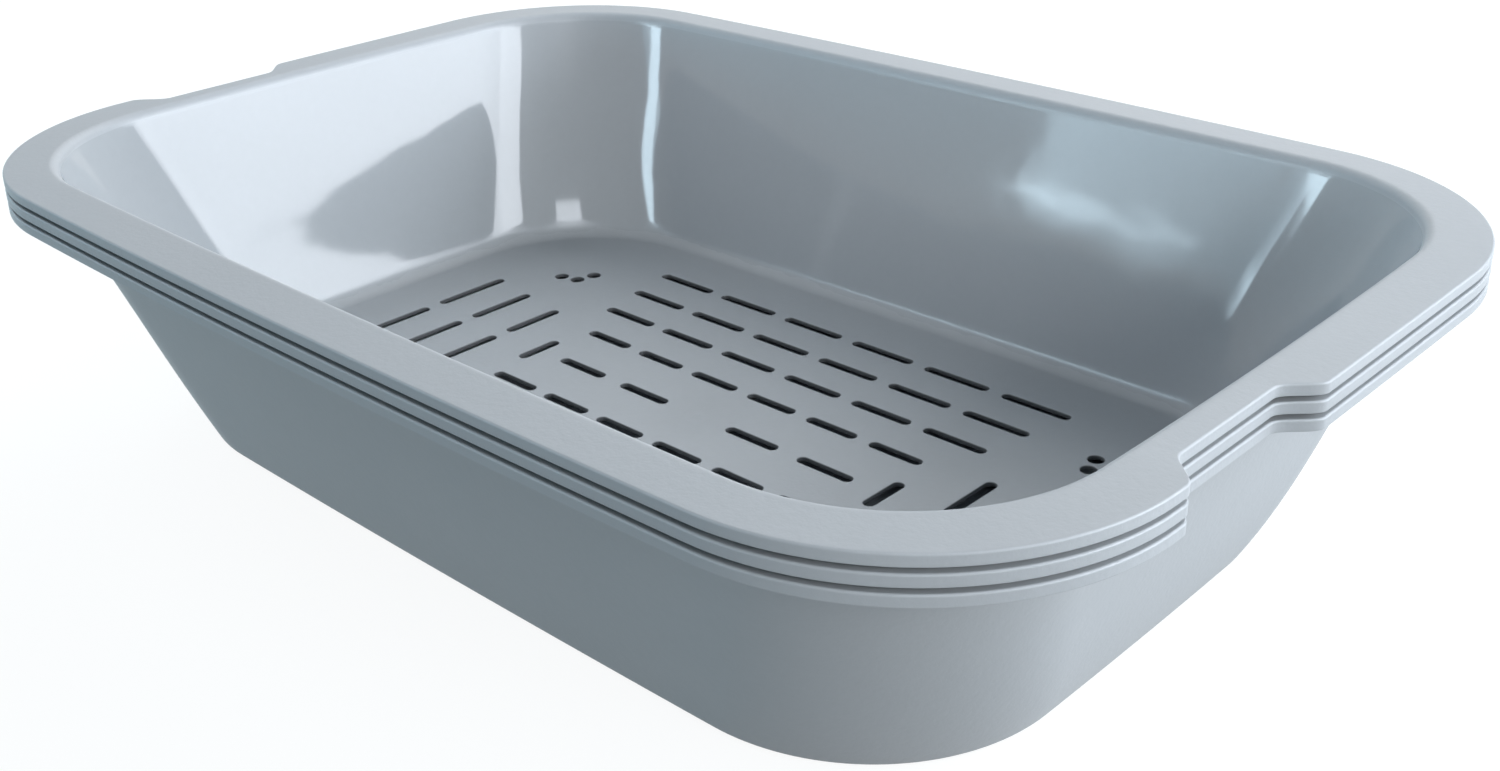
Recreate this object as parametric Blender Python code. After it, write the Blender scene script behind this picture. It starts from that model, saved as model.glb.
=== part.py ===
"""A nesting litter box: two solid pans and a sifting tray that stands inside them.

All three are mouldings of one shape: a deep tray with leaning walls, large round
corners, a flat flange round its mouth and a short lip that turns down from the flange.
A finger notch is let into the flange of each end wall, nearer the front long side.
The top tray's floor is pierced by rows of slots, and is otherwise like the pans.

Units are metres and +Z is up. The origin is on the ground under the middle of the box,
X runs along its long sides, and the notches lie towards -Y, the front.
"""

import math
from collections import namedtuple

import bmesh
import bpy

# Rim: the outer edge of the flange
RIM_LENGTH = 0.5300
RIM_WIDTH = 0.3720
RIM_CORNER_RADIUS = 0.0905
RIM_LONG_SIDE_BOW = 0.0058
RIM_END_BOW = 0.0010
RIM_EDGE_RADIUS = 0.0008

# Flange, which falls a little from the mouth to the rim, and the lip that turns down from it
FLANGE_WIDTH = 0.0203
FLANGE_THICKNESS = 0.0018
FLANGE_FALL = 0.0007
LIP_HEIGHT = 0.0040
LIP_THICKNESS = 0.0016

# Mouth: the inner edge of the flange, where the walls begin
MOUTH_LONG_SIDE_BOW = 0.0033
MOUTH_END_BOW = 0.0040
MOUTH_EDGE_RADIUS = 0.0035

# Walls and floor, with the run of a wall taken on the level from mouth to floor
INSIDE_DEPTH = 0.1055
END_WALL_RUN = 0.0368
LONG_WALL_RUN = 0.0338
WALL_THICKNESS = 0.00145
FLOOR_THICKNESS = 0.0020
FLOOR_CORNER_RADIUS = 0.0735
FLOOR_LONG_SIDE_BOW = 0.0025
FLOOR_END_BOW = 0.0020
FLOOR_FILLET_RADIUS = 0.0080
BASE_EDGE_RADIUS = 0.0025

# Finger notches in the flange, measured along the end and into it
NOTCH_LENGTH = 0.0795
NOTCH_DEPTH = 0.0100
NOTCH_RAMP = 0.0140
NOTCH_TO_CENTRE_LINE = 0.0500

# Nest: the level gap between walls, and the least upright gap under a lip or a floor
NEST_WALL_GAP = 0.0004
NEST_LEAST_GAP = 0.0006

# Slots and drain holes in the sifting floor
SLOT_WIDTH = 0.0048
SLOT_BRIDGE = 0.0075
MIDDLE_ROW_BRIDGE = 0.0114
DRAIN_HOLE_DIAMETER = 0.0065
DRAIN_HOLE_BRIDGE = 0.0026
CUT_OVERRUN = 0.0020

# Lengthwise slot rows: distance from the centre line as a share of the flat floor's half
# width, start and end as shares of its half length, and the number of slots between them.
# Each row is repeated in front of the centre line.
FULL_ROW_SHARES = (
    (0.771, 0.576, 6),
    (0.588, 0.554, 6),
    (0.409, 0.531, 6),
    (0.222, 0.465, 6),
)
# The row on the centre line leaves out the middle of the floor, where the plastic was let in
MIDDLE_ROW_START_SHARE = 0.086
MIDDLE_ROW_END_SHARE = 0.407
MIDDLE_ROW_SLOTS = 2

# Crosswise slots at both ends: distance from the middle as a share of the flat floor's
# half length, and reach as a share of its half width. They are split on the centre line.
SPLIT_COLUMN_SHARES = (
    (0.856, 0.333),
    (0.736, 0.300),
    (0.613, 0.270),
)
SHORT_COLUMN_PLACE_SHARE = 0.484
SHORT_COLUMN_REACH_SHARE = 0.087

# Three drain holes near each corner lie on a small arc, this far out along the two halves
DRAIN_PLACE_LENGTH_SHARE = 0.717
DRAIN_PLACE_WIDTH_SHARE = 0.523
DRAIN_ARC_STEP = math.radians(61)

# Facets
LONG_SIDE_STEPS = 6
CORNER_STEPS = 9
NOTCH_RAMP_STEPS = 4
FILLET_STEPS = 3
MOUTH_EDGE_STEPS = 4
SLOT_END_STEPS = 4
DRAIN_HOLE_SIDES = 12
# Edges that turn by more than this are shaded sharp
SHARP_EDGE_ANGLE = math.radians(35)

# Materials: colour is linear
SIFTING_TRAY_COLOUR = (0.40, 0.44, 0.47, 1.0)
PAN_COLOUR = (0.37, 0.41, 0.44, 1.0)
PLASTIC_ROUGHNESS = 0.22

# An outline is a round-cornered rectangle whose sides bulge out by a bow at their middles
Outline = namedtuple("Outline", "half_length half_width radius long_bow end_bow")
# A ring is one level turn round the shell: its outline, its height and whether it is notched
Ring = namedtuple("Ring", "outline height notched")

RIM = Outline(RIM_LENGTH / 2, RIM_WIDTH / 2, RIM_CORNER_RADIUS, RIM_LONG_SIDE_BOW, RIM_END_BOW)
MOUTH = Outline(
    RIM.half_length - FLANGE_WIDTH,
    RIM.half_width - FLANGE_WIDTH,
    RIM.radius - FLANGE_WIDTH,
    MOUTH_LONG_SIDE_BOW,
    MOUTH_END_BOW,
)
FLOOR = Outline(
    MOUTH.half_length - END_WALL_RUN,
    MOUTH.half_width - LONG_WALL_RUN,
    FLOOR_CORNER_RADIUS,
    FLOOR_LONG_SIDE_BOW,
    FLOOR_END_BOW,
)
TRAY_HEIGHT = FLOOR_THICKNESS + INSIDE_DEPTH

# How far the walls lean, as run over rise, and the turn from a level face into them
MEAN_LEAN = (END_WALL_RUN + LONG_WALL_RUN) / 2 / INSIDE_DEPTH
WALL_TURN = math.pi / 2 - math.atan(MEAN_LEAN)


def least_lean():
    """Run over rise of the steepest wall: an end wall, a long wall or a corner."""
    corner_run = math.hypot(END_WALL_RUN, LONG_WALL_RUN)
    corner_run -= (math.sqrt(2) - 1) * (MOUTH.radius - FLOOR.radius)
    return min(END_WALL_RUN, LONG_WALL_RUN, corner_run) / INSIDE_DEPTH


# Each tray stands this much above the one below it, clear of its walls, flange and floor
NEST_STEP = max(
    (WALL_THICKNESS + NEST_WALL_GAP) / least_lean(),
    LIP_HEIGHT + NEST_LEAST_GAP,
    FLOOR_THICKNESS + NEST_LEAST_GAP,
)


def offset(outline, distance):
    """The outline moved outwards by a distance on all sides."""
    return outline._replace(
        half_length=outline.half_length + distance,
        half_width=outline.half_width + distance,
        radius=outline.radius + distance,
    )


def inner_wall(height):
    """The outline of the inner wall face at a height above the tray's underside."""
    share_down = (TRAY_HEIGHT - height) / INSIDE_DEPTH
    return Outline(*(top + (bottom - top) * share_down for top, bottom in zip(MOUTH, FLOOR)))


def arc_radius(half_chord, bow):
    """Radius of the arc that rises by a bow over a chord."""
    return (half_chord ** 2 + bow ** 2) / (2 * bow)


def corner_frame(outline):
    """Radii of the long side's and the end's arcs, the corner's centre and its two angles."""
    long_radius = arc_radius(outline.half_length, outline.long_bow)
    end_radius = arc_radius(outline.half_width, outline.end_bow)
    long_centre_y = outline.half_width - long_radius
    end_centre_x = outline.half_length - end_radius

    # The corner's centre is one corner radius inside both side arcs
    to_long = long_radius - outline.radius
    to_end = end_radius - outline.radius
    apart = math.hypot(end_centre_x, long_centre_y)
    along = (to_long ** 2 - to_end ** 2 + apart ** 2) / (2 * apart)
    across = math.sqrt(to_long ** 2 - along ** 2)
    unit_x = end_centre_x / apart
    unit_y = -long_centre_y / apart
    x = unit_x * along + unit_y * across
    y = long_centre_y + unit_y * along - unit_x * across

    end_angle = math.atan2(y, x - end_centre_x)
    long_angle = math.atan2(y - long_centre_y, x)
    return long_radius, end_radius, (x, y), (end_angle, long_angle)


def end_half_span(outline):
    """Half the length of the end between its two corners, along Y."""
    _, end_radius, _, (end_angle, _) = corner_frame(outline)
    return end_radius * math.sin(end_angle)


def notch_inset(y):
    """How far the flange's end edge steps inwards at a place along Y."""
    from_middle = abs(y + NOTCH_TO_CENTRE_LINE)
    share = (NOTCH_LENGTH / 2 - from_middle) / NOTCH_RAMP
    share = max(0, min(1, share))
    return NOTCH_DEPTH * share * share * (3 - 2 * share)


def end_shares():
    """Places along an end, from -1 to 1 between its corners, closer together at the notch."""
    half_span = end_half_span(RIM)
    front = -NOTCH_TO_CENTRE_LINE - NOTCH_LENGTH / 2
    back = -NOTCH_TO_CENTRE_LINE + NOTCH_LENGTH / 2
    ramp = [NOTCH_RAMP * step / NOTCH_RAMP_STEPS for step in range(NOTCH_RAMP_STEPS + 1)]
    places = [front + run for run in ramp]
    places += [back - run for run in reversed(ramp)]
    places.append((back + half_span) / 2)
    return [-1] + [place / half_span for place in places] + [1]


END_SHARES = end_shares()
LONG_SHARES = [2 * step / LONG_SIDE_STEPS - 1 for step in range(LONG_SIDE_STEPS + 1)]


def ring_points(ring):
    """The ring's points, anticlockwise from the front end of the right-hand end."""
    outline = ring.outline
    long_radius, end_radius, (corner_x, corner_y), angles = corner_frame(outline)
    end_angle, long_angle = angles
    end_span = end_radius * math.sin(end_angle)
    long_span = long_radius * math.cos(long_angle)

    end_side = []
    for share in END_SHARES:
        y = share * end_span
        x = outline.half_length - end_radius + math.sqrt(end_radius ** 2 - y ** 2)
        if ring.notched:
            x -= notch_inset(y)
        end_side.append((x, y))

    corner = []
    for step in range(1, CORNER_STEPS):
        angle = end_angle + (long_angle - end_angle) * step / CORNER_STEPS
        x = corner_x + outline.radius * math.cos(angle)
        y = corner_y + outline.radius * math.sin(angle)
        corner.append((x, y))

    long_side = []
    for share in reversed(LONG_SHARES):
        x = share * long_span
        y = outline.half_width - long_radius + math.sqrt(long_radius ** 2 - x ** 2)
        long_side.append((x, y))

    points = list(end_side)
    points += corner
    points += long_side
    points += [(-x, y) for x, y in reversed(corner)]
    points += [(-x, y) for x, y in reversed(end_side)]
    points += [(-x, -y) for x, y in corner]
    points += [(-x, -y) for x, y in long_side]
    points += [(x, -y) for x, y in reversed(corner)]
    return [(x, y, ring.height) for x, y in points]


def fillet_point(radius, angle):
    """A point of the fillet between a level face and a wall.

    The angle runs from 0 on the level face to WALL_TURN on the wall. Gives the rise
    from the level face and the level distance from the wall's own line at that rise.
    """
    rise = radius * (1 - math.cos(angle))
    inset = radius * (math.tan(WALL_TURN / 2) - math.sin(angle)) + rise * MEAN_LEAN
    return rise, inset


def turn_angles(turn, steps):
    """Equal steps of an arc, from 0 to the turn."""
    return [turn * step / steps for step in range(steps + 1)]


def shell_rings():
    """The rings of a tray's skin, from its underside up the outside and down the inside."""
    rings = []

    # Underside and outer wall face
    for angle in turn_angles(WALL_TURN, FILLET_STEPS):
        rise, inset = fillet_point(BASE_EDGE_RADIUS, angle)
        rings.append(Ring(offset(inner_wall(rise), WALL_THICKNESS - inset), rise, False))

    # Outer wall face into the flange's underside
    under_flange = TRAY_HEIGHT - FLANGE_THICKNESS
    under_radius = max(MOUTH_EDGE_RADIUS - WALL_THICKNESS, WALL_THICKNESS)
    for angle in reversed(turn_angles(WALL_TURN, FILLET_STEPS)):
        drop, inset = fillet_point(under_radius, angle)
        height = under_flange - drop
        rings.append(Ring(offset(inner_wall(height), WALL_THICKNESS + inset), height, False))

    # Down the inside of the lip and up its outside
    rim_height = TRAY_HEIGHT - FLANGE_FALL
    lip_inside = offset(RIM, -LIP_THICKNESS)
    rings.append(Ring(lip_inside, rim_height - FLANGE_THICKNESS, True))
    rings.append(Ring(lip_inside, rim_height - LIP_HEIGHT, True))
    rings.append(Ring(RIM, rim_height - LIP_HEIGHT, True))
    for angle in turn_angles(math.pi / 2, FILLET_STEPS):
        inset = RIM_EDGE_RADIUS * (1 - math.cos(angle))
        height = rim_height - RIM_EDGE_RADIUS * (1 - math.sin(angle))
        rings.append(Ring(offset(RIM, -inset), height, True))

    # The flange's top into the inner wall face
    for angle in turn_angles(WALL_TURN, MOUTH_EDGE_STEPS):
        drop, inset = fillet_point(MOUTH_EDGE_RADIUS, angle)
        height = TRAY_HEIGHT - drop
        rings.append(Ring(offset(inner_wall(height), inset), height, False))

    # Inner wall face into the floor
    for angle in reversed(turn_angles(WALL_TURN, FILLET_STEPS)):
        rise, inset = fillet_point(FLOOR_FILLET_RADIUS, angle)
        height = FLOOR_THICKNESS + rise
        rings.append(Ring(offset(inner_wall(height), -inset), height, False))
    return rings


def build_shell_mesh(name):
    """One closed skin: a flat underside, the rings bridged by quads, and a flat floor."""
    bm = bmesh.new()
    loops = [[bm.verts.new(point) for point in ring_points(ring)] for ring in shell_rings()]
    bm.faces.new(reversed(loops[0]))
    for lower, upper in zip(loops, loops[1:]):
        for index, corner in enumerate(lower):
            following = (index + 1) % len(lower)
            bm.faces.new((corner, lower[following], upper[following], upper[index]))
    bm.faces.new(loops[-1])
    mesh = bpy.data.meshes.new(name)
    bm.to_mesh(mesh)
    bm.free()
    return mesh


def flat_floor_halves():
    """Half length and half width of the floor inside its fillet."""
    _, inset = fillet_point(FLOOR_FILLET_RADIUS, 0)
    return FLOOR.half_length - inset, FLOOR.half_width - inset


def slot_outline(start, end, place, crosswise):
    """A round-ended slot from start to end, lengthwise at y = place or crosswise at x = place."""
    radius = SLOT_WIDTH / 2
    points = []
    for centre, first_angle in ((end - radius, -math.pi / 2), (start + radius, math.pi / 2)):
        for turn in turn_angles(math.pi, SLOT_END_STEPS):
            angle = first_angle + turn
            along = centre + radius * math.cos(angle)
            points.append((along, place + radius * math.sin(angle)))
    if crosswise:
        points = [(y, x) for x, y in reversed(points)]
    return points


def row_of_slots(start, end, count, place, bridge=SLOT_BRIDGE, crosswise=False):
    """Equal slots with a bridge of plastic between each two, filling start to end."""
    pitch = (end - start + bridge) / count
    outlines = []
    for index in range(count):
        slot_start = start + pitch * index
        outlines.append(slot_outline(slot_start, slot_start + pitch - bridge, place, crosswise))
    return outlines


def lengthwise_slots():
    """The rows that run along X, over most of the floor."""
    half_length, half_width = flat_floor_halves()
    outlines = []
    for place_share, reach_share, count in FULL_ROW_SHARES:
        reach = half_length * reach_share
        for side in (-1, 1):
            outlines += row_of_slots(-reach, reach, count, side * half_width * place_share)
    start = half_length * MIDDLE_ROW_START_SHARE
    end = half_length * MIDDLE_ROW_END_SHARE
    outlines += row_of_slots(start, end, MIDDLE_ROW_SLOTS, 0, MIDDLE_ROW_BRIDGE)
    outlines += row_of_slots(-end, -start, MIDDLE_ROW_SLOTS, 0, MIDDLE_ROW_BRIDGE)
    return outlines


def crosswise_slots():
    """The columns that run along Y, at both ends of the floor."""
    half_length, half_width = flat_floor_halves()
    outlines = []
    for side in (-1, 1):
        for place_share, reach_share in SPLIT_COLUMN_SHARES:
            place = side * half_length * place_share
            reach = half_width * reach_share
            outlines += row_of_slots(-reach, reach, 2, place, crosswise=True)
        place = side * half_length * SHORT_COLUMN_PLACE_SHARE
        reach = half_width * SHORT_COLUMN_REACH_SHARE
        outlines += row_of_slots(-reach, reach, 1, place, crosswise=True)
    return outlines


def drain_holes():
    """Three round holes on a small arc near each corner, the middle one innermost."""
    half_length, half_width = flat_floor_halves()
    radius = DRAIN_HOLE_DIAMETER / 2
    arc = (DRAIN_HOLE_DIAMETER + DRAIN_HOLE_BRIDGE) / (2 * math.sin(DRAIN_ARC_STEP / 2))
    outlines = []
    for side_x, side_y in ((1, 1), (-1, 1), (-1, -1), (1, -1)):
        outwards = math.atan2(side_y, side_x)
        middle_x = side_x * half_length * DRAIN_PLACE_LENGTH_SHARE
        middle_y = side_y * half_width * DRAIN_PLACE_WIDTH_SHARE
        arc_x = middle_x + arc * math.cos(outwards)
        arc_y = middle_y + arc * math.sin(outwards)
        for turn in (-DRAIN_ARC_STEP, 0, DRAIN_ARC_STEP):
            hole_x = arc_x - arc * math.cos(outwards + turn)
            hole_y = arc_y - arc * math.sin(outwards + turn)
            outline = []
            for step in range(DRAIN_HOLE_SIDES):
                angle = 2 * math.pi * step / DRAIN_HOLE_SIDES
                outline.append((hole_x + radius * math.cos(angle), hole_y + radius * math.sin(angle)))
            outlines.append(outline)
    return outlines


def build_floor_cutter():
    """Prisms through the floor, one for each slot and hole, as one cutter."""
    bottom = -CUT_OVERRUN
    top = FLOOR_THICKNESS + CUT_OVERRUN
    bm = bmesh.new()
    for outline in lengthwise_slots() + crosswise_slots() + drain_holes():
        low = [bm.verts.new((x, y, bottom)) for x, y in outline]
        high = [bm.verts.new((x, y, top)) for x, y in outline]
        bm.faces.new(reversed(low))
        bm.faces.new(high)
        for index, corner in enumerate(low):
            following = (index + 1) % len(low)
            bm.faces.new((corner, low[following], high[following], high[index]))
    mesh = bpy.data.meshes.new("floor_cutter")
    bm.to_mesh(mesh)
    bm.free()
    cutter = bpy.data.objects.new("floor_cutter", mesh)
    cutter.hide_render = True
    cutter.display_type = "WIRE"
    bpy.context.collection.objects.link(cutter)
    return cutter


def make_plastic(name, colour):
    """Gloss moulded plastic."""
    material = bpy.data.materials.new(name)
    material.use_nodes = True
    shader = material.node_tree.nodes["Principled BSDF"]
    shader.inputs["Base Color"].default_value = colour
    shader.inputs["Roughness"].default_value = PLASTIC_ROUGHNESS
    shader.inputs["Metallic"].default_value = 0
    return material


def place_tray(name, mesh, material, level):
    """A tray standing on its underside, a number of nest steps above the ground."""
    mesh.materials.append(material)
    mesh.shade_smooth()
    mesh.set_sharp_from_angle(angle=SHARP_EDGE_ANGLE)
    tray = bpy.data.objects.new(name, mesh)
    tray.location = (0, 0, level * NEST_STEP)
    bpy.context.collection.objects.link(tray)
    return tray


def remove_objects():
    """Empty the scene."""
    for old_object in list(bpy.data.objects):
        bpy.data.objects.remove(old_object, do_unlink=True)


def build_litter_box():
    """Two solid pans and the sifting tray, nested with their rims in line."""
    remove_objects()
    pan_plastic = make_plastic("pan_plastic", PAN_COLOUR)
    tray_plastic = make_plastic("sifting_tray_plastic", SIFTING_TRAY_COLOUR)
    place_tray("lower_pan", build_shell_mesh("lower_pan"), pan_plastic, 0)
    place_tray("upper_pan", build_shell_mesh("upper_pan"), pan_plastic, 1)
    sifting_tray = place_tray("sifting_tray", build_shell_mesh("sifting_tray"), tray_plastic, 2)

    cutter = build_floor_cutter()
    cutter.location = sifting_tray.location
    cut = sifting_tray.modifiers.new("floor_slots", "BOOLEAN")
    cut.operation = "DIFFERENCE"
    cut.solver = "EXACT"
    cut.object = cutter


build_litter_box()
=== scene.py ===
"""How a nesting litter box looks: two solid pans and a sifting tray of gloss plastic.

Each tray is one finely meshed moulding that stands for the solid of the same name. It
follows the solid's outlines and adds what a mould gives: rounded slot and lip edges, end
walls that swell a little, a gate mark in the middle of the floor, and inner walls that are
polished where the other faces are satin.

Units are metres and +Z is up. The origin is on the ground under the middle of the box,
X runs along its long sides, and the finger notches lie towards -Y, the front.
"""

import math
from collections import namedtuple

import bmesh
import bpy
from mathutils import Matrix, Vector


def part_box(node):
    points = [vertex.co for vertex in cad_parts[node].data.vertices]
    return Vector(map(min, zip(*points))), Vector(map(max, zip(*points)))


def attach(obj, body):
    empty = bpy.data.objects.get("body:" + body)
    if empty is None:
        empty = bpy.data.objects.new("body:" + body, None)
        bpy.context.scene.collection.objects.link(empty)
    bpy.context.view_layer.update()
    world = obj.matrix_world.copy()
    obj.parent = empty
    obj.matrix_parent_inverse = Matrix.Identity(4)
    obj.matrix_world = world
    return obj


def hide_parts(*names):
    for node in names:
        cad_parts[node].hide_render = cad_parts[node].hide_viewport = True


# Rim: the outer edge of the flange
RIM_LENGTH = 0.5300
RIM_WIDTH = 0.3720
RIM_CORNER_RADIUS = 0.0905
RIM_LONG_SIDE_BOW = 0.0058
RIM_END_BOW = 0.0010
RIM_EDGE_RADIUS = 0.0008

# Flange, which falls a little from the mouth to the rim, and the lip that turns down from it
FLANGE_WIDTH = 0.0203
FLANGE_THICKNESS = 0.0018
FLANGE_FALL = 0.0007
LIP_HEIGHT = 0.0040
LIP_THICKNESS = 0.0016
LIP_TIP_RADIUS = 0.0004

# Mouth: the inner edge of the flange, where the walls begin
MOUTH_LONG_SIDE_BOW = 0.0033
MOUTH_END_BOW = 0.0040
MOUTH_EDGE_RADIUS = 0.0035

# Walls and floor, with the run of a wall taken on the level from mouth to floor
INSIDE_DEPTH = 0.1055
END_WALL_RUN = 0.0368
LONG_WALL_RUN = 0.0338
WALL_THICKNESS = 0.00145
FLOOR_THICKNESS = 0.0020
FLOOR_CORNER_RADIUS = 0.0735
FLOOR_LONG_SIDE_BOW = 0.0025
FLOOR_END_BOW = 0.0020
FLOOR_FILLET_RADIUS = 0.0080
BASE_EDGE_RADIUS = 0.0025

# The end walls swell outwards a little below their middle, between mouth and floor
END_WALL_SWELL = 0.0014
SWELL_START_SHARE = 0.31
SWELL_CREST_SHARE = 0.74

# Finger notches in the flange, measured along the end and into it
NOTCH_LENGTH = 0.0795
NOTCH_DEPTH = 0.0100
NOTCH_RAMP = 0.0140
NOTCH_TO_CENTRE_LINE = 0.0500

# Slots and drain holes in the sifting floor
SLOT_WIDTH = 0.0048
SLOT_BRIDGE = 0.0075
MIDDLE_ROW_BRIDGE = 0.0114
SLOT_EDGE_RADIUS = 0.00045
DRAIN_HOLE_DIAMETER = 0.0065
DRAIN_HOLE_BRIDGE = 0.0026
FULL_ROW_SHARES = (
    (0.771, 0.576, 6),
    (0.588, 0.554, 6),
    (0.409, 0.531, 6),
    (0.222, 0.465, 6),
)
MIDDLE_ROW_START_SHARE = 0.086
MIDDLE_ROW_END_SHARE = 0.407
MIDDLE_ROW_SLOTS = 2
SPLIT_COLUMN_SHARES = (
    (0.856, 0.333),
    (0.736, 0.300),
    (0.613, 0.270),
)
SHORT_COLUMN_PLACE_SHARE = 0.484
SHORT_COLUMN_REACH_SHARE = 0.087
DRAIN_PLACE_LENGTH_SHARE = 0.717
DRAIN_PLACE_WIDTH_SHARE = 0.523
DRAIN_ARC_STEP = math.radians(61)

# Gate mark: radius and height above the floor of each turn, from its edge to its middle
GATE_TURNS = (
    (0.0062, 0.0),
    (0.0056, -0.00004),
    (0.0050, -0.00011),
    (0.0044, -0.00014),
    (0.0020, -0.00014),
    (0.0016, -0.00011),
    (0.0013, -0.00004),
    (0.0010, -0.00002),
)
GATE_SIDES = 36

# Mesh: steps along each part of an outline, and rings up each part of the shell
LONG_SIDE_STEPS = 56
CORNER_STEPS = 36
END_PLAIN_STEPS = 10
NOTCH_RAMP_STEPS = 12
NOTCH_MIDDLE_STEPS = 12
WALL_RINGS = 22
FILLET_RINGS = 12
EDGE_RINGS = 6
SLOT_END_STEPS = 9
SLOT_EDGE_RINGS = 4
HOLE_SIDES = 24
FLAT_MARGIN = 0.0008
SLOT_MARGIN = 0.0003

# Finish: the walls are polished from a little below the mouth's edge to a little above the
# floor's fillet, and the floor is partly satin
POLISH_MARGIN = 0.0025
FILLET_HEAD_SATIN = 0.45
FLOOR_SATIN = 0.6

Outline = namedtuple("Outline", "half_length half_width radius long_bow end_bow")
# satin is 1 on faces with a fine mould texture, edge is 1 on rounded edges that are drawn
# paler, partly as rubbed wear and partly as a painted highlight, and the last value is 1 where
# shade is painted into the colour: on the slot and hole walls, under the flange and inside the lip
Ring = namedtuple(
    "Ring", "outline height notched satin edge recess", defaults=(False, 1, 0, 0)
)
# An opening in the floor is what a disc of its radius sweeps between two points
Opening = namedtuple("Opening", "start end radius")

RIM = Outline(RIM_LENGTH / 2, RIM_WIDTH / 2, RIM_CORNER_RADIUS, RIM_LONG_SIDE_BOW, RIM_END_BOW)
MOUTH = Outline(
    RIM.half_length - FLANGE_WIDTH,
    RIM.half_width - FLANGE_WIDTH,
    RIM.radius - FLANGE_WIDTH,
    MOUTH_LONG_SIDE_BOW,
    MOUTH_END_BOW,
)
FLOOR = Outline(
    MOUTH.half_length - END_WALL_RUN,
    MOUTH.half_width - LONG_WALL_RUN,
    FLOOR_CORNER_RADIUS,
    FLOOR_LONG_SIDE_BOW,
    FLOOR_END_BOW,
)
TRAY_HEIGHT = FLOOR_THICKNESS + INSIDE_DEPTH
MEAN_LEAN = (END_WALL_RUN + LONG_WALL_RUN) / 2 / INSIDE_DEPTH
WALL_TURN = math.pi / 2 - math.atan(MEAN_LEAN)


def offset(outline, distance):
    """The outline moved outwards by a distance on all sides."""
    return outline._replace(
        half_length=outline.half_length + distance,
        half_width=outline.half_width + distance,
        radius=outline.radius + distance,
    )


def smooth_step(share):
    """A share made smooth at both ends: level at 0 and at 1."""
    return share * share * (3 - 2 * share)


def swell_wave(share_down):
    """A smooth swell that starts at 0, is 1 at its crest and falls away below it."""
    share = (share_down - SWELL_START_SHARE) / (SWELL_CREST_SHARE - SWELL_START_SHARE)
    return smooth_step(max(0, share))


def inner_wall(height):
    """The outline of the inner wall face at a height above the tray's underside."""
    share_down = (TRAY_HEIGHT - height) / INSIDE_DEPTH
    plain = Outline(*(top + (bottom - top) * share_down for top, bottom in zip(MOUTH, FLOOR)))
    # The swell is drawn back evenly down the wall, so that the wall's foot keeps its place
    swell = END_WALL_SWELL * (swell_wave(share_down) - swell_wave(1) * share_down)
    return plain._replace(half_length=plain.half_length + swell)


def arc_radius(half_chord, bow):
    """Radius of the arc that rises by a bow over a chord."""
    return (half_chord ** 2 + bow ** 2) / (2 * bow)


def corner_frame(outline):
    """Radii of the long side's and the end's arcs, the corner's centre and its two angles."""
    long_radius = arc_radius(outline.half_length, outline.long_bow)
    end_radius = arc_radius(outline.half_width, outline.end_bow)
    long_centre_y = outline.half_width - long_radius
    end_centre_x = outline.half_length - end_radius

    # The corner's centre is one corner radius inside both side arcs
    to_long = long_radius - outline.radius
    to_end = end_radius - outline.radius
    apart = math.hypot(end_centre_x, long_centre_y)
    along = (to_long ** 2 - to_end ** 2 + apart ** 2) / (2 * apart)
    across = math.sqrt(to_long ** 2 - along ** 2)
    unit_x = end_centre_x / apart
    unit_y = -long_centre_y / apart
    x = unit_x * along + unit_y * across
    y = long_centre_y + unit_y * along - unit_x * across

    end_angle = math.atan2(y, x - end_centre_x)
    long_angle = math.atan2(y - long_centre_y, x)
    return long_radius, end_radius, (x, y), (end_angle, long_angle)


def notch_inset(y):
    """How far the flange's end edge steps inwards at a place along Y."""
    from_middle = abs(y + NOTCH_TO_CENTRE_LINE)
    share = (NOTCH_LENGTH / 2 - from_middle) / NOTCH_RAMP
    return NOTCH_DEPTH * smooth_step(max(0, min(1, share)))


def spread(start, end, steps):
    """Even places from start up to, but not including, end."""
    return [start + (end - start) * step / steps for step in range(steps)]


def end_shares():
    """Places along an end, from -1 to 1 between its corners, closer together at the notch."""
    _, end_radius, _, (end_angle, _) = corner_frame(RIM)
    half_span = end_radius * math.sin(end_angle)
    front = -NOTCH_TO_CENTRE_LINE - NOTCH_LENGTH / 2
    back = -NOTCH_TO_CENTRE_LINE + NOTCH_LENGTH / 2
    places = spread(-half_span, front, END_PLAIN_STEPS // 2)
    places += spread(front, front + NOTCH_RAMP, NOTCH_RAMP_STEPS)
    places += spread(front + NOTCH_RAMP, back - NOTCH_RAMP, NOTCH_MIDDLE_STEPS)
    places += spread(back - NOTCH_RAMP, back, NOTCH_RAMP_STEPS)
    places += spread(back, half_span, END_PLAIN_STEPS)
    places.append(half_span)
    return [place / half_span for place in places]


END_SHARES = end_shares()
LONG_SHARES = [2 * step / LONG_SIDE_STEPS - 1 for step in range(LONG_SIDE_STEPS + 1)]


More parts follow.
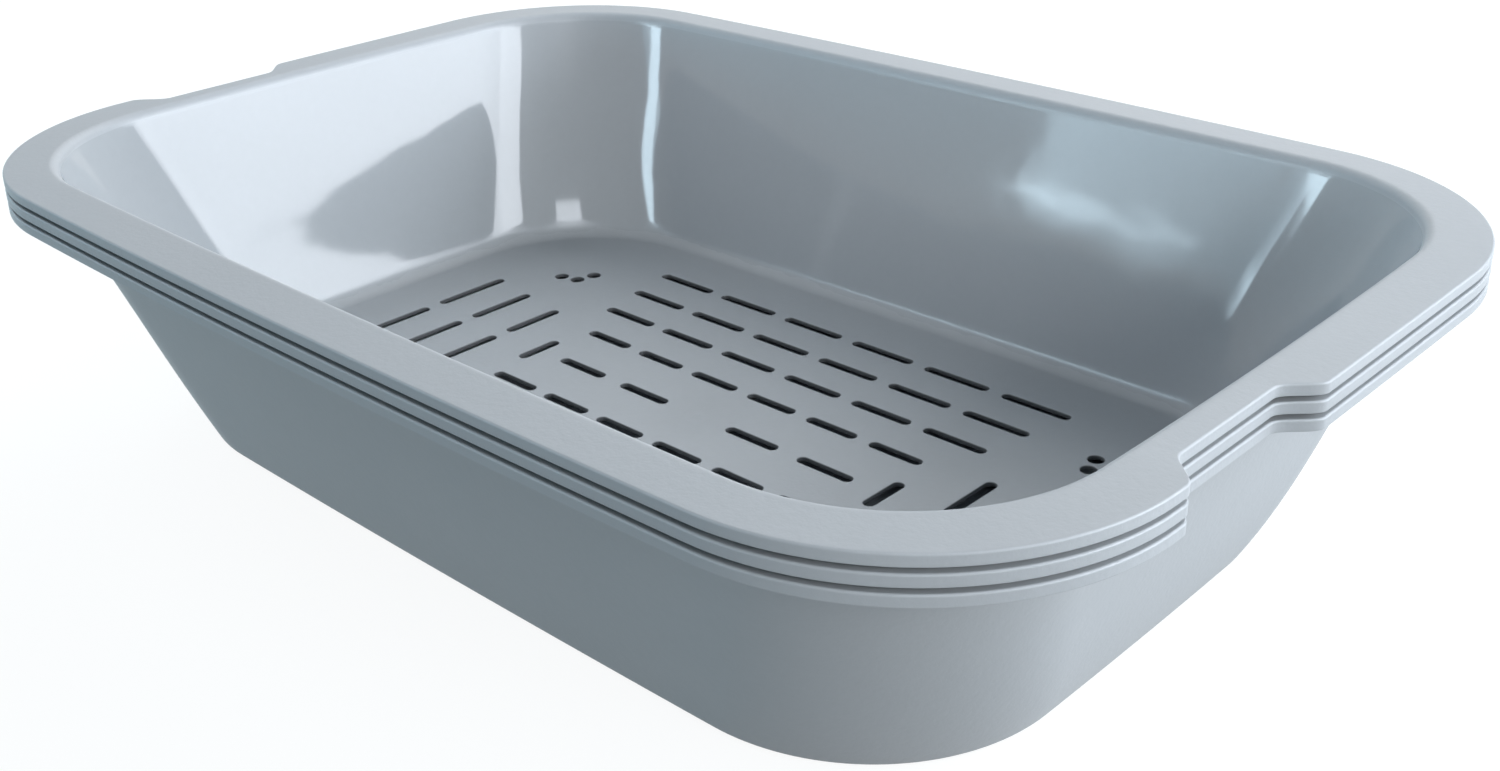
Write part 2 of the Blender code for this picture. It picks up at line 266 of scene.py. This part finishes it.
def ring_points(ring):
    """The ring's points, anticlockwise from the front end of the right-hand end."""
    outline = ring.outline
    long_radius, end_radius, (corner_x, corner_y), angles = corner_frame(outline)
    end_angle, long_angle = angles
    end_span = end_radius * math.sin(end_angle)
    long_span = long_radius * math.cos(long_angle)

    end_side = []
    for share in END_SHARES:
        y = share * end_span
        x = outline.half_length - end_radius + math.sqrt(end_radius ** 2 - y ** 2)
        if ring.notched:
            x -= notch_inset(y)
        end_side.append((x, y))

    corner = []
    for step in range(1, CORNER_STEPS):
        angle = end_angle + (long_angle - end_angle) * step / CORNER_STEPS
        x = corner_x + outline.radius * math.cos(angle)
        y = corner_y + outline.radius * math.sin(angle)
        corner.append((x, y))

    long_side = []
    for share in reversed(LONG_SHARES):
        x = share * long_span
        y = outline.half_width - long_radius + math.sqrt(long_radius ** 2 - x ** 2)
        long_side.append((x, y))

    points = list(end_side)
    points += corner
    points += long_side
    points += [(-x, y) for x, y in reversed(corner)]
    points += [(-x, y) for x, y in reversed(end_side)]
    points += [(-x, -y) for x, y in corner]
    points += [(-x, -y) for x, y in long_side]
    points += [(x, -y) for x, y in reversed(corner)]
    return [(x, y, ring.height) for x, y in points]


def fillet_point(radius, angle):
    """A point of the fillet between a level face and a wall.

    The angle runs from 0 on the level face to WALL_TURN on the wall. Gives the rise
    from the level face and the level distance from the wall's own line at that rise.
    """
    rise = radius * (1 - math.cos(angle))
    inset = radius * (math.tan(WALL_TURN / 2) - math.sin(angle)) + rise * MEAN_LEAN
    return rise, inset


def turn_angles(turn, steps):
    """Equal steps of an arc, from 0 to the turn."""
    return [turn * step / steps for step in range(steps + 1)]


def outside_rings():
    """Underside and outer wall face, up to the flange's underside."""
    rings = []
    _, inset = fillet_point(BASE_EDGE_RADIUS, 0)
    flat_edge = offset(inner_wall(0), WALL_THICKNESS - inset - FLAT_MARGIN)
    rings.append(Ring(flat_edge, 0))
    for angle in turn_angles(WALL_TURN, FILLET_RINGS):
        rise, inset = fillet_point(BASE_EDGE_RADIUS, angle)
        rings.append(Ring(offset(inner_wall(rise), WALL_THICKNESS - inset), rise))
    wall_foot = rings[-1].height

    under_flange = TRAY_HEIGHT - FLANGE_THICKNESS
    under_radius = max(MOUTH_EDGE_RADIUS - WALL_THICKNESS, WALL_THICKNESS)
    fillet = []
    for angle in reversed(turn_angles(WALL_TURN, EDGE_RINGS)):
        drop, inset = fillet_point(under_radius, angle)
        height = under_flange - drop
        outline = offset(inner_wall(height), WALL_THICKNESS + inset)
        # The rounding under the flange is darkened as painted shade
        fillet.append(Ring(outline, height, recess=1))
    for height in spread(wall_foot, fillet[0].height, WALL_RINGS)[1:]:
        rings.append(Ring(offset(inner_wall(height), WALL_THICKNESS), height))
    return rings + fillet


def lip_rings():
    """The flange's underside, the lip and the rim's rounded edge."""
    rings = []
    rim_height = TRAY_HEIGHT - FLANGE_FALL
    under_flange = rim_height - FLANGE_THICKNESS
    lip_foot = rim_height - LIP_HEIGHT
    inside = offset(RIM, -LIP_THICKNESS)

    # Into the lip's inner face, round its tip and up its outer face
    for angle in turn_angles(math.pi / 2, EDGE_RINGS):
        outline = offset(inside, -LIP_TIP_RADIUS * (1 - math.sin(angle)))
        height = under_flange - LIP_TIP_RADIUS * (1 - math.cos(angle))
        # The lip's inner face is darkened as painted shade
        rings.append(Ring(outline, height, notched=True, recess=1))
    for angle in turn_angles(math.pi / 2, EDGE_RINGS):
        outline = offset(inside, LIP_TIP_RADIUS * (1 - math.cos(angle)))
        height = lip_foot + LIP_TIP_RADIUS * (1 - math.sin(angle))
        # Round the tip the painted shade gives way to a paler edge, partly rubbed wear and partly
        # a painted highlight
        wear_and_highlight = math.sin(angle)
        rings.append(Ring(outline, height, notched=True, edge=wear_and_highlight, recess=1 - wear_and_highlight))
    for angle in turn_angles(math.pi / 2, EDGE_RINGS):
        outline = offset(RIM, -LIP_TIP_RADIUS * (1 - math.sin(angle)))
        height = lip_foot + LIP_TIP_RADIUS * (1 - math.cos(angle))
        rings.append(Ring(outline, height, notched=True, edge=math.cos(angle)))
    rings.append(Ring(RIM, rings[-1].height + LIP_TIP_RADIUS, notched=True))
    rings.append(Ring(RIM, rim_height - RIM_EDGE_RADIUS - LIP_TIP_RADIUS, notched=True))
    # The rim's rounded edge is drawn paler, partly as rubbed wear and partly as a painted
    # highlight
    for angle in turn_angles(math.pi / 2, FILLET_RINGS):
        inset = RIM_EDGE_RADIUS * (1 - math.cos(angle))
        height = rim_height - RIM_EDGE_RADIUS * (1 - math.sin(angle))
        rings.append(Ring(offset(RIM, -inset), height, notched=True, edge=math.sin(2 * angle)))
    rings.append(Ring(offset(RIM, -RIM_EDGE_RADIUS - FLAT_MARGIN), rim_height, notched=True))
    return rings


def inside_rings():
    """The mouth's rounded edge, the inner wall face and the floor's fillet."""
    rings = []
    _, inset = fillet_point(MOUTH_EDGE_RADIUS, 0)
    outline = offset(inner_wall(TRAY_HEIGHT), inset + FLAT_MARGIN)
    rings.append(Ring(outline, TRAY_HEIGHT))
    for angle in turn_angles(WALL_TURN, FILLET_RINGS):
        drop, inset = fillet_point(MOUTH_EDGE_RADIUS, angle)
        height = TRAY_HEIGHT - drop
        outline = offset(inner_wall(height), inset)
        # The mouth's rounded edge is drawn paler, partly as rubbed wear and partly as a painted
        # highlight
        wear_and_highlight = math.sin(math.pi * angle / WALL_TURN)
        rings.append(Ring(outline, height, edge=wear_and_highlight))
    wall_head = rings[-1].height
    polish_head = wall_head - POLISH_MARGIN
    rings.append(Ring(inner_wall(polish_head), polish_head, satin=0))

    fillet = []
    for angle in reversed(turn_angles(WALL_TURN, FILLET_RINGS)):
        rise, inset = fillet_point(FLOOR_FILLET_RADIUS, angle)
        height = FLOOR_THICKNESS + rise
        satin = FLOOR_SATIN + (FILLET_HEAD_SATIN - FLOOR_SATIN) * angle / WALL_TURN
        fillet.append(Ring(offset(inner_wall(height), -inset), height, satin=satin))
    for height in spread(wall_head, fillet[0].height, WALL_RINGS)[1:]:
        rings.append(Ring(inner_wall(height), height, satin=0))
    polish_foot = fillet[0].height + POLISH_MARGIN
    rings.append(Ring(inner_wall(polish_foot), polish_foot, satin=0))
    flat_edge = offset(fillet[-1].outline, -FLAT_MARGIN)
    return rings + fillet + [Ring(flat_edge, FLOOR_THICKNESS, satin=FLOOR_SATIN)]


def row_of_openings(start, end, count, place, bridge=SLOT_BRIDGE, crosswise=False):
    """Equal slots with a bridge of plastic between each two, filling start to end."""
    radius = SLOT_WIDTH / 2
    pitch = (end - start + bridge) / count
    openings = []
    for index in range(count):
        first = start + pitch * index + radius
        last = start + pitch * (index + 1) - bridge - radius
        if crosswise:
            openings.append(Opening((place, first), (place, last), radius))
        else:
            openings.append(Opening((first, place), (last, place), radius))
    return openings


def floor_openings():
    """Every slot and drain hole of the sifting floor."""
    _, inset = fillet_point(FLOOR_FILLET_RADIUS, 0)
    half_length = FLOOR.half_length - inset
    half_width = FLOOR.half_width - inset
    openings = []
    for place_share, reach_share, count in FULL_ROW_SHARES:
        reach = half_length * reach_share
        for side in (-1, 1):
            openings += row_of_openings(-reach, reach, count, side * half_width * place_share)
    start = half_length * MIDDLE_ROW_START_SHARE
    end = half_length * MIDDLE_ROW_END_SHARE
    openings += row_of_openings(start, end, MIDDLE_ROW_SLOTS, 0, MIDDLE_ROW_BRIDGE)
    openings += row_of_openings(-end, -start, MIDDLE_ROW_SLOTS, 0, MIDDLE_ROW_BRIDGE)

    for side in (-1, 1):
        for place_share, reach_share in SPLIT_COLUMN_SHARES:
            place = side * half_length * place_share
            reach = half_width * reach_share
            openings += row_of_openings(-reach, reach, 2, place, crosswise=True)
        place = side * half_length * SHORT_COLUMN_PLACE_SHARE
        reach = half_width * SHORT_COLUMN_REACH_SHARE
        openings += row_of_openings(-reach, reach, 1, place, crosswise=True)

    arc = (DRAIN_HOLE_DIAMETER + DRAIN_HOLE_BRIDGE) / (2 * math.sin(DRAIN_ARC_STEP / 2))
    for side_x, side_y in ((1, 1), (-1, 1), (-1, -1), (1, -1)):
        outwards = math.atan2(side_y, side_x)
        arc_x = side_x * half_length * DRAIN_PLACE_LENGTH_SHARE + arc * math.cos(outwards)
        arc_y = side_y * half_width * DRAIN_PLACE_WIDTH_SHARE + arc * math.sin(outwards)
        for turn in (-DRAIN_ARC_STEP, 0, DRAIN_ARC_STEP):
            hole_x = arc_x - arc * math.cos(outwards + turn)
            hole_y = arc_y - arc * math.sin(outwards + turn)
            hole = (hole_x, hole_y)
            openings.append(Opening(hole, hole, DRAIN_HOLE_DIAMETER / 2))
    return openings


def circle(centre, radius, sides):
    """Points of a circle, anticlockwise."""
    points = []
    for angle in turn_angles(2 * math.pi, sides)[:-1]:
        points.append((centre[0] + radius * math.cos(angle), centre[1] + radius * math.sin(angle)))
    return points


def opening_outline(opening, grow):
    """An opening's outline, wider by grow on all sides."""
    radius = opening.radius + grow
    if opening.start == opening.end:
        return circle(opening.start, radius, HOLE_SIDES)
    along_x = opening.end[0] - opening.start[0]
    along_y = opening.end[1] - opening.start[1]
    heading = math.atan2(along_y, along_x)
    points = []
    for centre, first in ((opening.end, -math.pi / 2), (opening.start, math.pi / 2)):
        for turn in turn_angles(math.pi, SLOT_END_STEPS):
            angle = heading + first + turn
            x = centre[0] + radius * math.cos(angle)
            y = centre[1] + radius * math.sin(angle)
            points.append((x, y))
    return points


def opening_profile():
    """How far an opening's wall flares and how high it lies, from the floor's top down."""
    profile = [(SLOT_EDGE_RADIUS + SLOT_MARGIN, FLOOR_THICKNESS)]
    for angle in turn_angles(math.pi / 2, SLOT_EDGE_RINGS):
        flare = SLOT_EDGE_RADIUS * (1 - math.sin(angle))
        profile.append((flare, FLOOR_THICKNESS - SLOT_EDGE_RADIUS * (1 - math.cos(angle))))
    for angle in reversed(turn_angles(math.pi / 2, SLOT_EDGE_RINGS)):
        flare = SLOT_EDGE_RADIUS * (1 - math.sin(angle))
        profile.append((flare, SLOT_EDGE_RADIUS * (1 - math.cos(angle))))
    profile.append((SLOT_EDGE_RADIUS + SLOT_MARGIN, 0))
    return profile


class Skin:
    """A mesh under construction, with the values that its plastic reads at each point."""

    def __init__(self):
        self.bm = bmesh.new()
        self.satin = self.bm.verts.layers.float.new("satin")
        self.edge = self.bm.verts.layers.float.new("edge")
        # The last layer darkens the colour as painted shade
        self.recess = self.bm.verts.layers.float.new("recess")

    def loop(self, points, satin, edge, recess=0):
        """One closed turn of vertices."""
        loop = []
        for point in points:
            vertex = self.bm.verts.new(point)
            vertex[self.satin] = satin
            vertex[self.edge] = edge
            vertex[self.recess] = recess
            loop.append(vertex)
        return loop

    def bridge(self, first, second):
        """Quads between two loops of as many vertices."""
        for index, corner in enumerate(first):
            following = (index + 1) % len(first)
            self.bm.faces.new((corner, first[following], second[following], second[index]))

    def bridge_all(self, loops):
        """Quads between each loop and the next."""
        for first, second in zip(loops, loops[1:]):
            self.bridge(first, second)

    def fill(self, outer, holes):
        """A flat face inside the outer loop and outside the holes."""
        edges = []
        for loop in [outer] + holes:
            for index, corner in enumerate(loop):
                following = loop[(index + 1) % len(loop)]
                edge = self.bm.edges.get((corner, following))
                edges.append(edge or self.bm.edges.new((corner, following)))
        bmesh.ops.triangle_fill(self.bm, use_beauty=True, edges=edges, normal=(0, 0, 1))

    def gate_mark(self, face_height, side, satin):
        """The dimple and nub of the gate in a flat face. Gives the loop of its edge.

        The side is 1 for a face that looks up and -1 for one that looks down.
        """
        loops = []
        for radius, rise in GATE_TURNS:
            height = face_height + side * rise
            points = [(x, y, height) for x, y in circle((0, 0), radius, GATE_SIDES)]
            loops.append(self.loop(points, satin, 0))
        self.bridge_all(loops)
        self.bm.faces.new(loops[-1])
        return loops[0]

    def finish(self, name):
        """The closed skin as a mesh, its faces turned outwards."""
        bmesh.ops.recalc_face_normals(self.bm, faces=self.bm.faces)
        mesh = bpy.data.meshes.new(name)
        self.bm.to_mesh(mesh)
        self.bm.free()
        mesh.shade_smooth()
        return mesh


def build_tray_mesh(name, pierced):
    """One moulding standing on its underside at height 0."""
    skin = Skin()
    loops = []
    for ring in outside_rings() + lip_rings() + inside_rings():
        loops.append(skin.loop(ring_points(ring), ring.satin, ring.edge, ring.recess))
    skin.bridge_all(loops)

    top_holes = [skin.gate_mark(FLOOR_THICKNESS, 1, FLOOR_SATIN)]
    bottom_holes = [skin.gate_mark(0, -1, 1)]
    if pierced:
        for opening in floor_openings():
            turns = []
            for flare, height in opening_profile():
                points = [(x, y, height) for x, y in opening_outline(opening, flare)]
                satin = FLOOR_SATIN if height > FLOOR_THICKNESS / 2 else 1
                # The slot and hole walls are darkened as painted shade, which fades out round
                # their top and bottom edges
                recess = max(0, 1 - flare / SLOT_EDGE_RADIUS)
                turns.append(skin.loop(points, satin, 0, recess))
            skin.bridge_all(turns)
            top_holes.append(turns[0])
            bottom_holes.append(turns[-1])
    skin.fill(loops[-1], top_holes)
    skin.fill(loops[0], bottom_holes)
    return skin.finish(name)


def add_tray(node, plastic, pierced=False):
    """The moulding that stands for a solid, and moves with the body of the same name."""
    lowest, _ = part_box(node)
    mesh = build_tray_mesh(node + "_moulding", pierced)
    mesh.transform(Matrix.Translation((0, 0, lowest.z)))
    mesh.materials.append(plastic)
    tray = bpy.data.objects.new(node + "_moulding", mesh)
    bpy.context.scene.collection.objects.link(tray)
    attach(tray, node)
    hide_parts(node)
    return tray


# Plastic
SIFTING_TRAY_COLOUR = (0.385, 0.415, 0.440)
PAN_COLOUR = (0.375, 0.405, 0.430)
POLISHED_ROUGHNESS = 0.055
SATIN_ROUGHNESS = 0.47
PLASTIC_IOR = 1.49

# Noise in the plastic, with features of about 1/scale metres, and how much each changes: the
# tone as a share of the colour, the roughness from least to most, and the relief in metres
Noise = namedtuple("Noise", "scale detail roughness distortion", defaults=(0.5, 0.0))
CLOUDS = Noise(9, 3)
CLOUD_TONE = 0.035
SPECKLES = Noise(260, 2)
SPECKLE_TONE = 0.02
SMEARS = Noise(30, 4, 0.6, 0.6)
SMEAR_ROUGHNESS = (-0.02, 0.04)
WAVES = Noise(22, 2, 0.4)
WAVE_RELIEF = 0.00028
GRAIN = Noise(450, 3, 0.6)
GRAIN_RELIEF = 0.00012

# How much paler an edge is, as rubbed wear and a painted highlight, and how much darker the
# painted shade makes the slot walls and the gaps under the flange and inside the lip
EDGE_WEAR_AND_HIGHLIGHT_TONE = 0.08
PAINTED_SHADE_TONE = 0.72


class Nodes:
    """Short calls that add nodes to one node tree and link them."""

    def __init__(self, tree):
        self.tree = tree

    def add(self, kind, inputs=(), **settings):
        """A node with its settings, and its inputs set to numbers or linked to sockets."""
        node = self.tree.nodes.new(kind)
        for setting, value in settings.items():
            setattr(node, setting, value)
        for socket, value in dict(inputs).items():
            if isinstance(value, bpy.types.NodeSocket):
                self.tree.links.new(value, node.inputs[socket])
            else:
                node.inputs[socket].default_value = value
        return node

    def math(self, operation, first, second):
        """One sum on two numbers or sockets."""
        return self.add("ShaderNodeMath", {0: first, 1: second}, operation=operation).outputs[0]

    def noise(self, place, noise):
        """Noise from 0 to 1."""
        inputs = {
            "Vector": place,
            "Scale": noise.scale,
            "Detail": noise.detail,
            "Roughness": noise.roughness,
            "Distortion": noise.distortion,
        }
        return self.add("ShaderNodeTexNoise", inputs).outputs["Fac"]

    def span(self, value, low, high):
        """A value from 0 to 1 taken to low to high."""
        return self.add("ShaderNodeMapRange", {"Value": value, 3: low, 4: high}).outputs[0]


def make_plastic(name, colour):
    """Moulded plastic that reads its finish, paler edges and painted shade from the mesh."""
    material = bpy.data.materials.new(name)
    material.use_nodes = True
    nodes = Nodes(material.node_tree)
    shader = material.node_tree.nodes["Principled BSDF"]
    place = nodes.add("ShaderNodeTexCoord").outputs["Object"]
    satin = nodes.add("ShaderNodeAttribute", attribute_name="satin").outputs["Fac"]
    edge = nodes.add("ShaderNodeAttribute", attribute_name="edge").outputs["Fac"]
    recess = nodes.add("ShaderNodeAttribute", attribute_name="recess").outputs["Fac"]

    # Colour: cloudy pigment, a finer speckle, paler edges that are partly rubbed wear and partly a
    # painted highlight, and painted shade in the slots, under the flange and inside the lip
    cloud = nodes.span(nodes.noise(place, CLOUDS), -CLOUD_TONE, CLOUD_TONE)
    speckle = nodes.span(nodes.noise(place, SPECKLES), -SPECKLE_TONE, SPECKLE_TONE)
    wear_and_highlight = nodes.math("MULTIPLY", edge, EDGE_WEAR_AND_HIGHLIGHT_TONE)
    # Paler edges: partly rubbed wear and partly a painted highlight
    tone = nodes.math("ADD", nodes.math("ADD", cloud, speckle), wear_and_highlight)
    tone = nodes.math("ADD", tone, 1.0)
    # Painted shade: the colour is darkened where the mesh marks shade
    tone = nodes.math("SUBTRACT", tone, nodes.math("MULTIPLY", recess, PAINTED_SHADE_TONE))
    tinted = nodes.add(
        "ShaderNodeVectorMath", {0: colour, "Scale": tone}, operation="SCALE"
    ).outputs[0]
    material.node_tree.links.new(tinted, shader.inputs["Base Color"])

    # Roughness: polished or satin, with faint smears
    smears = nodes.span(nodes.noise(place, SMEARS), *SMEAR_ROUGHNESS)
    finish = nodes.span(satin, POLISHED_ROUGHNESS, SATIN_ROUGHNESS)
    material.node_tree.links.new(nodes.math("ADD", finish, smears), shader.inputs["Roughness"])

    # Relief: slow waves of cooling plastic, and the satin faces' fine grain
    waves = nodes.noise(place, WAVES)
    grain = nodes.math("MULTIPLY", nodes.noise(place, GRAIN), satin)
    wavy = nodes.add("ShaderNodeBump", {"Height": waves, "Distance": WAVE_RELIEF})
    grained = nodes.add(
        "ShaderNodeBump",
        {"Height": grain, "Distance": GRAIN_RELIEF, "Normal": wavy.outputs["Normal"]},
    )
    material.node_tree.links.new(grained.outputs["Normal"], shader.inputs["Normal"])

    shader.inputs["Metallic"].default_value = 0
    shader.inputs["IOR"].default_value = PLASTIC_IOR
    return material


# Camera, from a fit of the rims, the base and the slot rows: its target is the middle of
# the rim's top plane, seen along a direction, and moved sideways and up by an offset
CAMERA_AZIMUTH = math.radians(44.34)
CAMERA_ELEVATION = math.radians(23.38)
CAMERA_ROLL = math.radians(-1.53)
CAMERA_DISTANCE = 0.66431
CAMERA_SIDEWAYS = 0.00588
CAMERA_UPWARDS = -0.04912
CAMERA_LENS = 41.24
SENSOR_WIDTH = 36.0
CAMERA_SHIFT_X = 0.02837
CAMERA_SHIFT_Y = -0.05785
CAMERA_CLIP_START = 0.01


def add_camera(target):
    """The camera at the photograph's angle."""
    azimuth = CAMERA_AZIMUTH
    elevation = CAMERA_ELEVATION
    back = Vector((
        math.sin(azimuth) * math.cos(elevation),
        -math.cos(azimuth) * math.cos(elevation),
        math.sin(elevation),
    ))
    level_right = Vector((math.cos(azimuth), math.sin(azimuth), 0))
    level_up = back.cross(level_right)
    place = target + back * CAMERA_DISTANCE
    place += level_right * CAMERA_SIDEWAYS + level_up * CAMERA_UPWARDS
    right = level_right * math.cos(CAMERA_ROLL) + level_up * math.sin(CAMERA_ROLL)
    up = level_up * math.cos(CAMERA_ROLL) - level_right * math.sin(CAMERA_ROLL)

    data = bpy.data.cameras.new("photograph_camera")
    data.sensor_width = SENSOR_WIDTH
    data.lens = CAMERA_LENS
    data.shift_x = CAMERA_SHIFT_X
    data.shift_y = CAMERA_SHIFT_Y
    data.clip_start = CAMERA_CLIP_START
    camera = bpy.data.objects.new("photograph_camera", data)
    turn = Matrix((right, up, back)).transposed()
    camera.matrix_world = Matrix.Translation(place) @ turn.to_4x4()
    bpy.context.scene.collection.objects.link(camera)
    bpy.context.scene.camera = camera


# Studio
FLOOR_HALF_SIZE = 30.0
FLOOR_DROP = 0.0002
FLOOR_COLOUR = (0.13, 0.15, 0.155, 1.0)
FLOOR_GLOW = 0.90
ROOM_COLOUR = (0.70, 0.87, 1.00, 1.0)
ROOM_STRENGTH = 0.12


def seen_directly(nodes):
    """1 for what the camera, a reflection or a transmission sees, and 0 for light on a surface."""
    path = nodes.add("ShaderNodeLightPath")
    seen = nodes.math("MAXIMUM", path.outputs["Is Camera Ray"], path.outputs["Is Glossy Ray"])
    return nodes.math("MAXIMUM", seen, path.outputs["Is Transmission Ray"])


def add_floor():
    """A plain pale floor that takes the box's shadow and reads as white."""
    mesh = bpy.data.meshes.new("studio_floor")
    half = FLOOR_HALF_SIZE
    corners = [(-half, -half, -FLOOR_DROP), (half, -half, -FLOOR_DROP)]
    corners += [(half, half, -FLOOR_DROP), (-half, half, -FLOOR_DROP)]
    mesh.from_pydata(corners, [], [(0, 1, 2, 3)])
    material = bpy.data.materials.new("studio_floor")
    material.use_nodes = True
    nodes = Nodes(material.node_tree)
    shader = material.node_tree.nodes["Principled BSDF"]
    shader.inputs["Base Color"].default_value = FLOOR_COLOUR
    shader.inputs["Roughness"].default_value = 1.0
    shader.inputs["Specular IOR Level"].default_value = 0.0
    shader.inputs["Emission Color"].default_value = (1, 1, 1, 1)
    glow = nodes.math("MULTIPLY", seen_directly(nodes), FLOOR_GLOW)
    material.node_tree.links.new(glow, shader.inputs["Emission Strength"])
    mesh.materials.append(material)
    floor = bpy.data.objects.new("studio_floor", mesh)
    bpy.context.scene.collection.objects.link(floor)


def set_world():
    """A soft grey room that is seen as white."""
    world = bpy.data.worlds.new("studio_room")
    world.use_nodes = True
    bpy.context.scene.world = world
    nodes = Nodes(world.node_tree)
    room = world.node_tree.nodes["Background"]
    room.inputs["Color"].default_value = ROOM_COLOUR
    room.inputs["Strength"].default_value = ROOM_STRENGTH
    white = nodes.add("ShaderNodeBackground", {"Color": (1, 1, 1, 1), "Strength": 1.0})
    mixed = nodes.add("ShaderNodeMixShader", {0: seen_directly(nodes)})
    world.node_tree.links.new(room.outputs[0], mixed.inputs[1])
    world.node_tree.links.new(white.outputs[0], mixed.inputs[2])
    output = world.node_tree.nodes["World Output"]
    world.node_tree.links.new(mixed.outputs[0], output.inputs["Surface"])


# Windows and lamps stand round the box. Angles are in degrees, seen from the middle of the
# box: azimuth is 0 towards +X and 90 towards +Y. The radiance is the strength of the light, a
# colour tints it, and it fades by a share on either side of its middle, towards growing
# azimuth. The windows only show in the polished walls, and the lamps only light the surfaces.
WINDOW_DISTANCE = 2.4
LAMP_DISTANCE = 1.41
PANEL_STEP = 0.01
WINDOW_TINT = (0.95, 1.0, 1.07, 1.0)
SKY_TINT = (0.78, 1.0, 1.14, 1.0)
SHADE_TINT = (0.40, 1.0, 1.25, 1.0)
NEUTRAL_TINT = (1.0, 1.0, 1.0, 1.0)
Panel = namedtuple(
    "Panel", "name azimuth elevation width height radiance tint fade", defaults=(0,)
)
WINDOWS = (
    Panel("window_right", 33, 18, 23, 32, 8.2, WINDOW_TINT),
    Panel("window_right_near", 13.1, 18, 16.8, 32, 10.3, WINDOW_TINT),
    Panel("window_right_jamb", 43.6, 18, 1.4, 30, 4.0, WINDOW_TINT),
    Panel("room_back", 73, 16, 56, 26, 0.3, WINDOW_TINT),
    Panel("room_left", 142, 17, 50, 26, 0.7, NEUTRAL_TINT),
    Panel("window_left", -118.6, 21.3, 9.2, 21.6, 3.7, SKY_TINT, 0.55),
    Panel("window_left_sill", -120.2, 11.9, 7.0, 0.9, 9.9, SKY_TINT, 0.35),
    Panel("window_front", -118, 19.3, 26, 4.0, 13.0, SKY_TINT),
    Panel("small_lamp", -38, 49, 17.5, 23, 9.0, WINDOW_TINT),
)
LAMPS = (
    Panel("right_back_light", 45, 21, 28, 18, 11.8, WINDOW_TINT),
    Panel("right_back_low_light", 45, 6, 30, 12, 6.2, WINDOW_TINT),
    Panel("right_middle_light", 15, 21, 28, 18, 4.2, WINDOW_TINT),
    Panel("right_light", -15, 21, 28, 18, 8.6, NEUTRAL_TINT),
    Panel("right_low_light", -45, 6, 30, 12, 3.9, WINDOW_TINT),
    Panel("back_light", 105, 32, 25.5, 40, 5.6, NEUTRAL_TINT),
    Panel("back_left_light", 135, 32, 25.5, 40, 2.7, NEUTRAL_TINT),
    Panel("left_light", 195, 32, 25.5, 40, 3.6, WINDOW_TINT),
    Panel("left_low_light", 210, 6, 60, 12, 3.3, SHADE_TINT),
)

# A pale screen hides the small lamp from the upper part of the back left corner, so that the
# lamp shows only at the corner's foot. It faces that part of the corner.
SCREEN = Panel("lamp_screen", -38, 41.5, 26, 20, 1.0, NEUTRAL_TINT)
SCREEN_DISTANCE = 0.42
SCREENED_PLACE = (-0.219, 0.131, 0.094)


def add_panel(panel, middle, distance, lights):
    """A glowing rectangle that faces a place from a distance.

    It either lights the surfaces or shows in reflections.
    """
    azimuth = math.radians(panel.azimuth)
    elevation = math.radians(panel.elevation)
    outwards = Vector((
        math.cos(azimuth) * math.cos(elevation),
        math.sin(azimuth) * math.cos(elevation),
        math.sin(elevation),
    ))
    half_width = distance * math.tan(math.radians(panel.width) / 2)
    half_height = distance * math.tan(math.radians(panel.height) / 2)
    corners = [(-half_width, -half_height, 0), (half_width, -half_height, 0)]
    corners += [(half_width, half_height, 0), (-half_width, half_height, 0)]
    mesh = bpy.data.meshes.new(panel.name)
    mesh.from_pydata(corners, [], [(0, 1, 2, 3)])
    material = bpy.data.materials.new(panel.name)
    material.use_nodes = True
    tree = material.node_tree
    tree.nodes.remove(tree.nodes["Principled BSDF"])
    nodes = Nodes(tree)
    radiance = panel.radiance
    if panel.fade:
        place = nodes.add("ShaderNodeTexCoord").outputs["Generated"]
        across = nodes.add("ShaderNodeSeparateXYZ", {0: place}).outputs["X"]
        most = radiance * (1 + panel.fade)
        least = radiance * (1 - panel.fade)
        radiance = nodes.span(across, most, least)
    glow = nodes.add("ShaderNodeEmission", {"Color": panel.tint, "Strength": radiance})
    tree.links.new(glow.outputs[0], tree.nodes["Material Output"].inputs["Surface"])
    mesh.materials.append(material)
    light = bpy.data.objects.new(panel.name, mesh)
    light.matrix_world = (
        Matrix.Translation(middle + outwards * distance)
        @ outwards.to_track_quat("Z", "Y").to_matrix().to_4x4()
    )
    light.visible_camera = False
    light.visible_shadow = False
    light.visible_diffuse = lights
    light.visible_glossy = not lights
    bpy.context.scene.collection.objects.link(light)


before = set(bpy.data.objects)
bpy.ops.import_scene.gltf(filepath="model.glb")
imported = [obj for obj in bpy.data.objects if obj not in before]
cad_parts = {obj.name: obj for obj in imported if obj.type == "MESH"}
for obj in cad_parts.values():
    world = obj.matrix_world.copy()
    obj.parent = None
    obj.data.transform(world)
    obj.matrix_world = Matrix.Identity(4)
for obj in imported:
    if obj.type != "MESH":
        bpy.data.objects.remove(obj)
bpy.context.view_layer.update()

add_camera(Vector((0, 0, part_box("sifting_tray")[1].z)))
bpy.context.scene.view_settings.view_transform = "Standard"
set_world()
add_floor()
# Each window or lamp stands a little nearer than the one before, and shows in front of it
box_middle = Vector((0, 0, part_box("sifting_tray")[1].z / 2))
for steps, window in enumerate(WINDOWS):
    add_panel(window, box_middle, WINDOW_DISTANCE - PANEL_STEP * steps, lights=False)
for steps, lamp in enumerate(LAMPS):
    add_panel(lamp, box_middle, LAMP_DISTANCE - PANEL_STEP * steps, lights=True)
add_panel(SCREEN, Vector(SCREENED_PLACE), SCREEN_DISTANCE, lights=False)

pan_plastic = make_plastic("pan_plastic_satin_and_gloss", PAN_COLOUR)
tray_plastic = make_plastic("sifting_tray_plastic_satin_and_gloss", SIFTING_TRAY_COLOUR)
add_tray("lower_pan", pan_plastic)
add_tray("upper_pan", pan_plastic)
add_tray("sifting_tray", tray_plastic, pierced=True)
